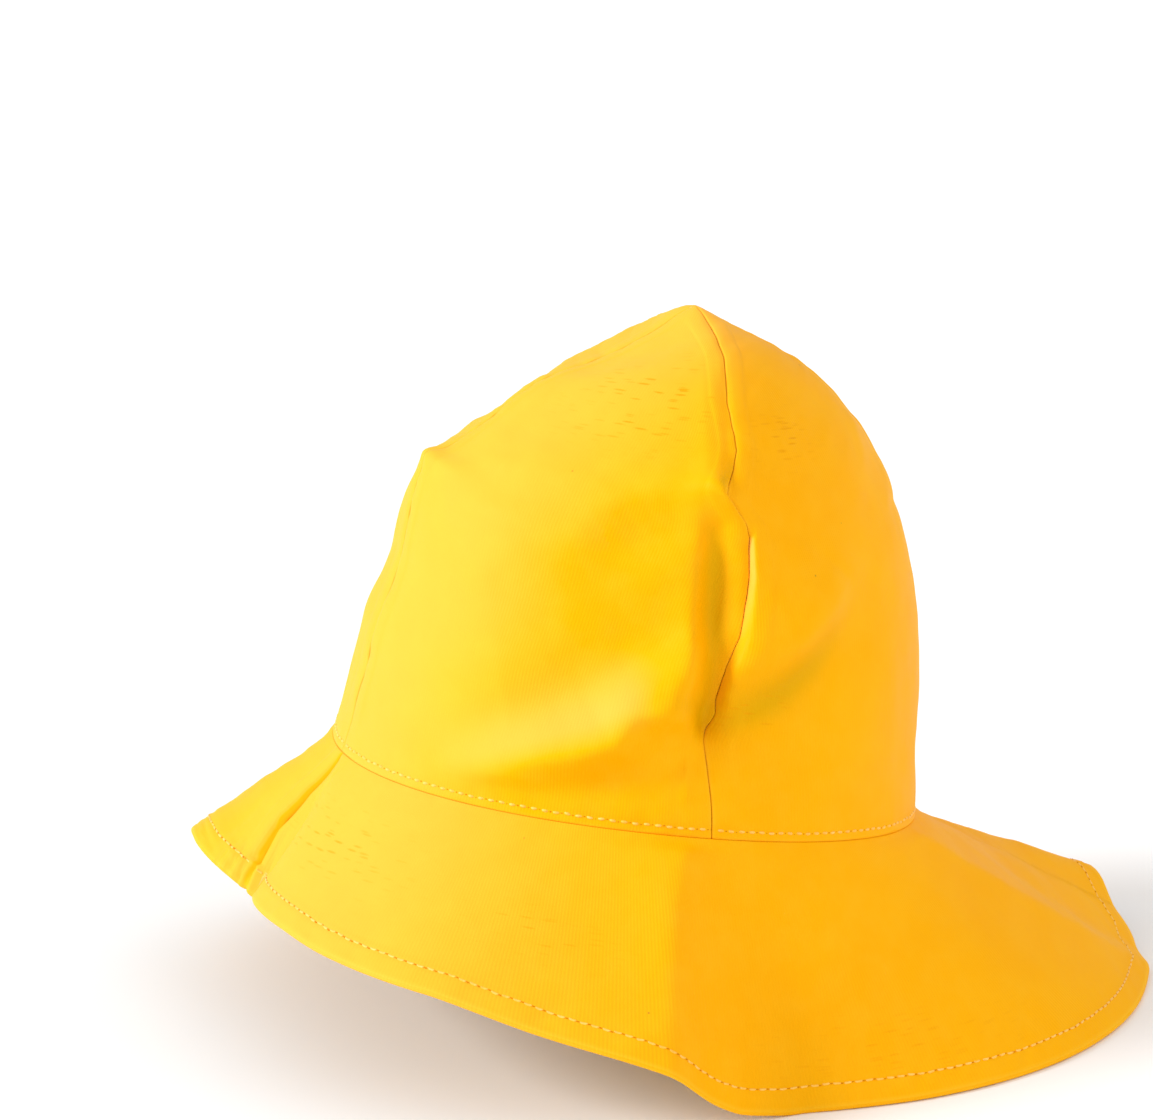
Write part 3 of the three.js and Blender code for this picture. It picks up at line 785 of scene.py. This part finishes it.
def brimFrame(around):
    # the brim's section at each azimuth, as arrays of (distance from the middle, height)
    ring = smoothCrown(around, np.zeros(around.shape))
    outward = unit(ring * [1, 1, 0])
    ringRadius = np.hypot(ring[..., 0], ring[..., 1])
    above = smoothCrown(around, np.full(around.shape, goreLook["probe"]))
    climb = unit(np.stack([(above * outward).sum(-1) - ringRadius, above[..., 2] - ring[..., 2]], -1))
    intoCrown = np.stack([-climb[..., 1], climb[..., 0]], -1)
    base = np.stack([ringRadius, ring[..., 2]], -1)

    def fromRing(up, inwards):
        return base + climb * up + intoCrown * inwards

    degrees = np.degrees(np.arccos(np.clip(np.cos(around), -1, 1)))
    left, sides = np.sin(around) >= 0, ("left", "right")
    reach, lift = (
        hatShape[whole] * np.where(left, *(readRow(rimRows, side + share, degrees) for side in sides))
        for whole, share in (("brimReach", "Reach"), ("frontLift", "Lift"))
    )
    seat = fromRing(-2 * hatShape["seamGap"], hatShape["seamGap"])
    rim = np.stack([ringRadius + reach + brimLook["ease"], lift], -1)
    slope = rim - seat
    length = np.linalg.norm(slope, axis=-1)
    way = slope / length[..., None]
    lifted = np.stack([-way[..., 1], way[..., 0]], -1)
    return {
        "outward": outward, "seat": seat, "way": way, "lifted": lifted, "length": length, "lift": lift,
        "fromRing": fromRing, "ringRadius": ringRadius,
    }


def turnBack(section):
    # how far the fold of the hem stays back from the rim's line, so that its roll rests on the surface
    radius = brimLook["rimRadius"]
    down = np.maximum(-section["way"][..., 1], 0.25)
    resting = np.clip(radius * (1 + section["lifted"][..., 1]) / down, radius, 3.4 * radius)
    return radius + (resting - radius) * (1 - smoothStep(section["lift"], 0.5, 5))


def brimTop(around, distance, section, fromSeam):
    # the brim's upper face at a distance from the crown, in millimetres down its slope
    look = brimLook
    length = section["length"]
    share = np.clip(distance / length, 0, 1)
    resting = 1 - np.minimum(1, section["lift"] / hatShape["brimFold"])
    pressed = 1 - resting * smoothStep(share, 0.5, 1)
    deep = np.zeros(around.shape)
    for place, wide, starts, depth in brimWaves:
        hollow = bell(shortTurn(around - math.radians(place)), 0, math.radians(wide))
        deep += depth * hatShape["brimFold"] * smoothStep(share, starts, 1) * pressed * hollow
    radius = section["ringRadius"] + distance * section["way"][..., 0]
    loose = smoothStep(distance, 0, 7) * (0.35 + 0.65 * pressed)
    deep += foldDepth(brimFolds, around, share, radius, length) * loose
    x, y = around * radius, distance
    deep += look["wideWaves"] * waves(31, x, y, 58) * loose * smoothStep(distance, 0, 20)
    deep += look["smallWaves"] * waves(37, x, y, 16) * loose

    fromRim = length - turnBack(section) - distance
    deep += look["stitchGroove"] * bell(fromRim, look["hemStitch"], goreLook["threadWidth"])
    rimDraw, topDraw = waves(41, x, x * 0, 10, 16), waves(43, x, x * 0, 10, 16)
    deep += look["pucker"] * rimDraw * np.exp(-np.abs(fromRim - 3) / 7) * smoothStep(fromRim, -1, 3)
    deep += look["topPucker"] * topDraw * np.exp(-distance / 6) * smoothStep(distance, 0, 2)
    onHem = smoothStep(look["hemWidth"] + 0.8 - fromRim, 0, 1.2)
    deep -= look["layerLift"] * onHem
    near = smoothStep(hatShape["seamAllowance"] + 1 - fromSeam, 0, 2)
    deep -= look["layerLift"] * near * smoothStep(fromSeam, 0, 3)
    patch = smoothStep(look["patchWidth"] + 0.6 - fromSeam, 0, 0.8) * onHem
    deep -= look["patchHeight"] * patch
    roll = goreLook["rollRadius"] * (1 - 0.45 * onHem)
    inside = np.clip(roll - fromSeam, 0, roll)
    deep += roll - np.sqrt(roll * roll - inside * inside)
    return section["seat"] + section["way"] * distance[..., None] - section["lifted"] * deep[..., None]


def seamShift(around, share):
    # carries the cloth near the front seam along with the seam's wander
    shares, degrees = zip(*frontSeamWander)
    away = np.abs(shortTurn(around))
    reach = math.radians(40)
    return np.radians(np.interp(share, shares, degrees)) * smoothStep(reach - away, 0, reach)


# the parts of the brim's sheet, from inside the crown to the edge of the hem
upstandPart, footPart, slopePart, rollPart, hemPart = range(5)


def brimPoints(around, kind, value):
    # kind is the part of the sheet, and value is how far along that part a point is
    look, gapWidth = brimLook, hatShape["seamGap"]
    slopeShare = np.where(kind == slopePart, value, np.where(kind < slopePart, 0.0, 1.0))
    turned = around + seamShift(around, slopeShare)
    section = brimFrame(turned)
    gap = np.minimum(np.abs(around), np.abs(fullTurn - around))
    widthHere = section["ringRadius"] + slopeShare * (section["length"] * section["way"][..., 0])
    fromSeam = np.maximum(gap * widthHere - gapWidth / 2, 0)
    back = turnBack(section) + look["notch"] * bell(fromSeam, 0, look["notchWidth"])
    ends = section["length"] - back
    turnedUnder = np.where(kind == hemPart, ends - value * look["hemWidth"], ends)
    seatDistance = np.where(kind == slopePart, value * ends, turnedUnder)
    seatDistance = np.where(kind < slopePart, 0, seatDistance)
    top = brimTop(turned, seatDistance, section, fromSeam)
    radius = look["rimRadius"]
    angle = np.where(kind == rollPart, value * np.pi, 0)
    centre = top - section["lifted"] * radius
    rolled = centre + section["lifted"] * (radius * np.cos(angle))[..., None]
    rolled = rolled + section["way"] * (radius * np.sin(angle))[..., None]
    under = top - section["lifted"] * (2 * radius)
    fromRing, low = section["fromRing"], -2 * gapWidth
    climb = unit(fromRing(1.0, 0.0) - fromRing(0.0, 0.0))
    intoCrown = fromRing(0.0, 1.0) - fromRing(0.0, 0.0)
    up = np.where(kind == upstandPart, value * (hatShape["upstand"] - low), 0)
    foot = gapWidth + (look["upstandIn"] - gapWidth) * np.where(kind == footPart, value, 0)
    inwards = np.where(kind == upstandPart, look["upstandIn"], foot)
    upstand = fromRing(low, 0.0) + climb * up[..., None] + intoCrown * inwards[..., None]
    flat = np.where((kind == rollPart)[..., None], rolled, top)
    flat = np.where((kind < slopePart)[..., None], upstand, flat)
    flat = np.where((kind == hemPart)[..., None], under, flat)
    flat[..., 1] = np.where(kind >= slopePart, np.maximum(flat[..., 1], look["clear"]), flat[..., 1])
    nothing = flat[..., 0] * 0
    points = section["outward"] * flat[..., :1] + np.stack([nothing, nothing, flat[..., 1]], -1)
    worn = np.where(kind == slopePart, np.exp((seatDistance - ends) / 1.2), 0)
    wear = np.where(kind == rollPart, np.sin(angle), worn)
    wear = np.maximum(wear, np.exp(-fromSeam / 1.3) * (kind >= slopePart))
    grain = np.stack([shortTurn(around) * (halfDepth + 20), seatDistance, np.full(around.shape, 7.0)], -1)
    return points, wear, grain, fromSeam


brimScuffs = [
    (20, 0.45, 14, 0.2, 0.7),
    (60, 0.55, 10, 0.1, 0.5),
    (110, 0.8, 20, 0.12, 0.4),
    (250, 0.6, 25, 0.2, 0.5),
]

# painted shade and painted light on the brim, in strokes like those on the crown: paler over the lit front,
# deeper in the crease of the front seam and in a fold
brimPaintedShadeAndLight = [
    ([(20, 0), (20, 0.5), (20, 1)], -0.42, 52, 52, 2.2, (1, 1)),
    ([(359.8, 0.02), (359.7, 0.3), (359.7, 0.6), (359.8, 1)], 0.9, 0.6, 1.0, 1.5, (0.8, 0.6)),
    ([(99, 0.55), (98, 0.8), (97, 1)], 0.25, 9, 9, 1.8, (0.1, 0.9)),
]


def makeBrim(name):
    look = brimLook
    kinds, values = [], []

    def rows(kind, steps):
        kinds.extend([kind] * len(steps))
        values.extend(steps)

    rows(upstandPart, [1, 0.7, 0.4, 0.15, 0.0])
    rows(footPart, [0.6, 0.25])
    rows(slopePart, [0, 0.004, 0.01, 0.02, 0.033])
    rows(slopePart, list(np.linspace(0.045, 0.86, look["slopeRows"])))
    rows(slopePart, [0.872, 0.884, 0.895, 0.905, 0.915, 0.925, 0.94, 0.955, 0.97, 0.985, 0.994, 1.0])
    rows(rollPart, [0.15, 0.3, 0.42, 0.5, 0.58, 0.7, 0.85, 1.0])
    rows(hemPart, [0.12, 0.3, 0.5, 0.7, 0.85, 0.95, 1.0])
    kinds, values = np.array(kinds), np.array(values, float)
    piece, column, row = clothGrid(name, look["columns"], len(kinds))
    near = edgeSteps[:6] + list(np.arange(2.0, look["seamReach"], look["seamSteps"]))
    near = np.array(near) / halfDepth
    gap = hatShape["seamGap"] / 2 / halfDepth
    between = look["columns"] - 2 * len(near)
    low, high = near[-1] + gap, fullTurn - near[-1] - gap
    even = np.arange(1, between + 1) / (between + 1)
    even = low + (high - low) * (even - look["closer"] * np.sin(fullTurn * even) / fullTurn)
    arounds = np.concatenate([near + gap, even, fullTurn - gap - near[::-1]])
    around, kind, value = arounds[::-1][column], kinds[row], values[row]
    points, wear, grain, fromSeam = brimPoints(around, kind, value)
    beside = (fromSeam > hatShape["doubledFrom"]) & (fromSeam < hatShape["doubledTo"])
    doubled = np.where(beside & (kind == slopePart) & (value < 0.86), 1.0, 0.0)
    share = np.where(kind == slopePart, value, 0)
    marks = scuffPlaces(around, share, brimScuffs)
    section = brimFrame(around)
    # painted shade in the front seam's crease and painted light over the front, from the brim's strokes
    paintedShadeLight = foldDepth(brimPaintedShadeAndLight, around, share, section["ringRadius"], section["length"])
    shapeCloth(piece, points, wear, grain, marks, paintedShadeLight, doubled)
    return piece


brimPiece = makeBrim("cloth_brim")
print("brim shaped:", len(brimPiece.data.polygons))

hatInside = ((hatMiddle + [0, 0, 100]) * metre).tolist()
for clothPiece in gores + [brimPiece]:
    if not facesOut(clothPiece, hatInside):
        print("faces look inwards:", clothPiece.name)

# Topstitching

stitchLook = {
    "length": 2.5, "thick": 0.85, "flat": 0.8, "dip": 0.2, "segments": 8, "rings": 6,
    "pitch": 3.56, "raised": 0.16, "turned": 0.08, "aside": 0.09, "fromSeam": 1.2, "fromFrontSeam": 1.8,
}
needleLook = {"length": 0.75, "thick": 0.5, "raised": -0.02}


def makeStitch(length, thick):
    # one stitch: a short plump thread whose ends dip into the cloth
    look = stitchLook
    bpy.ops.mesh.primitive_uv_sphere_add(
        segments=look["segments"], ring_count=look["rings"], radius=0.5, rotation=(0, quarterTurn, 0)
    )
    stitch = bpy.context.object
    bpy.ops.object.transform_apply(location=True, rotation=True, scale=True)
    bpy.ops.object.mode_set(mode="EDIT")
    bpy.ops.mesh.select_all(action="SELECT")
    bpy.ops.transform.resize(value=(length * metre, thick * metre, thick * look["flat"] * metre))
    bpy.ops.object.mode_set(mode="OBJECT")
    for vertex in stitch.data.vertices:
        end = 2 * vertex.co.x / (length * metre)
        vertex.co.z -= look["dip"] * length * metre * end * end
    bpy.ops.object.shade_smooth()
    return stitch


def sewRow(name, stitch, points, ways, normals):
    # one copy of the stitch at each point, turned along the seam and up from the cloth, joined to one piece
    copies = []
    for point, way, normal in zip(points, ways, normals):
        x = Vector(way).normalized()
        z = Vector(normal)
        z = (z - x * z.dot(x)).normalized()
        y = z.cross(x)
        turn = Matrix((x, y, z)).transposed().to_4x4()
        turn.translation = Vector(point) * metre
        copy = bpy.data.objects.new(name, stitch.data.copy())
        copy.data.transform(turn)
        bpy.context.scene.collection.objects.link(copy)
        copies.append(copy)
    bpy.ops.object.select_all(action="DESELECT")
    for copy in copies:
        copy.select_set(True)
    bpy.context.view_layer.objects.active = copies[0]
    bpy.ops.object.join()
    row = bpy.context.object
    row.name = name
    row.data.name = name
    row.select_set(False)
    return row


def evenPlaces(points, pitch):
    # the places on a line of points, in points from its start, at which equal steps along it fall
    lengths = np.linalg.norm(np.diff(points, axis=0), axis=1)
    total = np.concatenate([[0], np.cumsum(lengths)])
    count = max(2, int(round(total[-1] / pitch)))
    wanted = (np.arange(count) + 0.5) / count * total[-1]
    return np.interp(wanted, total, np.arange(len(points)))


def alongLine(points, normals, pitch, seed):
    look = stitchLook
    at = evenPlaces(points, pitch)
    dice = np.random.default_rng(seed)
    index = np.arange(len(points))

    def read(values, places):
        return np.stack([np.interp(places, index, values[:, k]) for k in range(3)], -1)

    middle = read(points, at)
    ahead = read(points, np.minimum(at + 0.6, len(points) - 1))
    behind = read(points, np.maximum(at - 0.6, 0))
    way = unit(ahead - behind)
    normal = unit(read(normals, at))
    across = np.cross(normal, way)
    way = unit(way + across * dice.normal(0, look["turned"], len(at))[:, None])
    middle = middle + across * dice.normal(0, look["aside"], len(at))[:, None] + normal * look["raised"]
    return middle, way, normal


def crownStitchLine(gore):
    margin, step = stitchLook["fromSeam"] / halfWidth, stitchLook["fromSeam"] / clothRise
    around = np.linspace(gore * quarterTurn + margin, (gore + 1) * quarterTurn - margin, 300)
    along = np.full(around.shape, goreLook["stitchFromEdge"] / clothRise)
    levels = (along, along + step, along - step)
    points, higher, lower = (crownCloth(gore, around, level)[0] for level in levels)
    return points, unit(np.cross(np.gradient(points, axis=0), higher - lower))


def brimStitchLine(kind):
    margin = stitchLook["fromFrontSeam"] / 130  # radians, 130 mm from the middle
    around = np.linspace(margin, fullTurn - margin, 1400)
    kinds = np.full(around.shape, kind)
    if kind == slopePart:
        section = brimFrame(around)
        ends = section["length"] - turnBack(section)
        values = 1 - brimLook["hemStitch"] / ends
        other = 1 - (brimLook["hemStitch"] - 1) / ends
    else:
        values = np.full(around.shape, brimLook["hemStitch"] / brimLook["hemWidth"])
        other = values - 1 / brimLook["hemWidth"]
    points = brimPoints(around, kinds, values)[0]
    outer = brimPoints(around, kinds, other)[0]
    return points, unit(np.cross(np.gradient(points, axis=0), outer - points))


stitch = makeStitch(stitchLook["length"], stitchLook["thick"])
needleHole = makeStitch(needleLook["length"], needleLook["thick"])
crownLines = [alongLine(*crownStitchLine(g), stitchLook["pitch"], 61 + g) for g in range(4)]
stitchLines = {
    "crown": [np.concatenate([line[k] for line in crownLines]) for k in range(3)],
    "hem": alongLine(*brimStitchLine(slopePart), stitchLook["pitch"], 71),
    "under": alongLine(*brimStitchLine(hemPart), stitchLook["pitch"], 73),
}
stitchRows, paintedHoleShadeRows = [], []
for rowName, (points, ways, normals) in stitchLines.items():
    stitchRows.append(sewRow(rowName + "_topstitch", stitch, points + hatMiddle, ways, normals))
    # between the stitches, small dark patches of painted shade stand for the needle holes
    between = points + ways * stitchLook["pitch"] / 2 + normals * (needleLook["raised"] - stitchLook["raised"])
    paintedHoleShadeRows.append(sewRow(rowName + "_needle_hole_painted_shade", needleHole, between + hatMiddle, ways, normals))
bpy.data.objects.remove(stitch)
bpy.data.objects.remove(needleHole)
print("topstitching sewn:", [len(s.data.polygons) for s in stitchRows])

# Each piece stands for its node and rides with the hat

for clothPiece, node in zip(gores + [brimPiece], goreNames + ["brim"]):
    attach(clothPiece, "root")
    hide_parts(node)
for row in stitchRows + paintedHoleShadeRows:
    row.data.materials.clear()
    row.data.materials.append(threadFinish if row in stitchRows else holePaintedShadeFinish)
    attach(row, "root")

# The studio

studioLook = {
    "azimuth": 72.0,
    "elevation": 14.0,
    "distance": 1427.0,
    "lens": 135.0,
    "right": -16.0,
    "up": 71.3,
    "aimHeight": 73.7,
    "floorSize": 12,
    "lightAway": 3,
    "worldStrength": 0.74,
    "key": {"azimuth": -4.0, "elevation": 27.0, "spread": 22.0, "strength": 2.7},
    "fill": {"azimuth": 128.0, "elevation": 34.0, "spread": 60.0, "strength": 0.55},
}


def towards(azimuth, elevation):
    a, e = math.radians(azimuth), math.radians(elevation)
    return Vector((math.sin(a) * math.cos(e), -math.cos(a) * math.cos(e), math.sin(e)))


def lookAt(item, target):
    item.rotation_euler = (item.location - target).to_track_quat("Z", "Y").to_euler()


def makeCamera():
    look = studioLook
    back = towards(look["azimuth"], look["elevation"])
    a = math.radians(look["azimuth"])
    right = Vector((math.cos(a), math.sin(a), 0))
    up = back.cross(right).normalized()
    middle = Vector((hatMiddle[0], hatMiddle[1], look["aimHeight"]))
    target = (middle + right * look["right"] + up * look["up"]) * metre
    data = bpy.data.cameras.new("photoCamera")
    data.lens = look["lens"]
    data.sensor_width = 36.0
    camera = bpy.data.objects.new("photoCamera", data)
    camera.location = target + back * look["distance"] * metre
    lookAt(camera, target)
    bpy.context.scene.collection.objects.link(camera)
    bpy.context.scene.camera = camera
    return target


def makeLight(name, look, target):
    # an even light from far away, as wide in degrees as a big soft box
    data = bpy.data.lights.new(name, "SUN")
    data.angle = math.radians(look["spread"])
    data.energy = look["strength"]
    lamp = bpy.data.objects.new(name, data)
    lamp.location = target + towards(look["azimuth"], look["elevation"]) * studioLook["lightAway"]
    lookAt(lamp, target)
    bpy.context.scene.collection.objects.link(lamp)


def makeFloor():
    bpy.ops.mesh.primitive_plane_add(size=studioLook["floorSize"])
    floor = bpy.context.object
    floor.name = "studio_floor"
    finish = Finish("pale_floor")
    cloudy = finish.noise(3.0, 2.0)
    colour = finish.mixColour(cloudy * 0.1, (0.95, 0.95, 0.95, 1), (0.92, 0.92, 0.92, 1))
    pale = finish.surface({"Specular IOR Level": 0.2, "Base Color": colour, "Roughness": 0.7})
    floor.data.materials.append(pale)


target = makeCamera()
makeLight("keyLight", studioLook["key"], target)
makeLight("fillLight", studioLook["fill"], target)
makeFloor()
world = bpy.data.worlds.new("paleStudio")
world.use_nodes = True
background = world.node_tree.nodes["Background"].inputs
background["Color"].default_value = (1.0, 1.0, 1.0, 1)
background["Strength"].default_value = studioLook["worldStrength"]
bpy.context.scene.world = world
bpy.context.scene.view_settings.view_transform = "Standard"
print("studio lit")
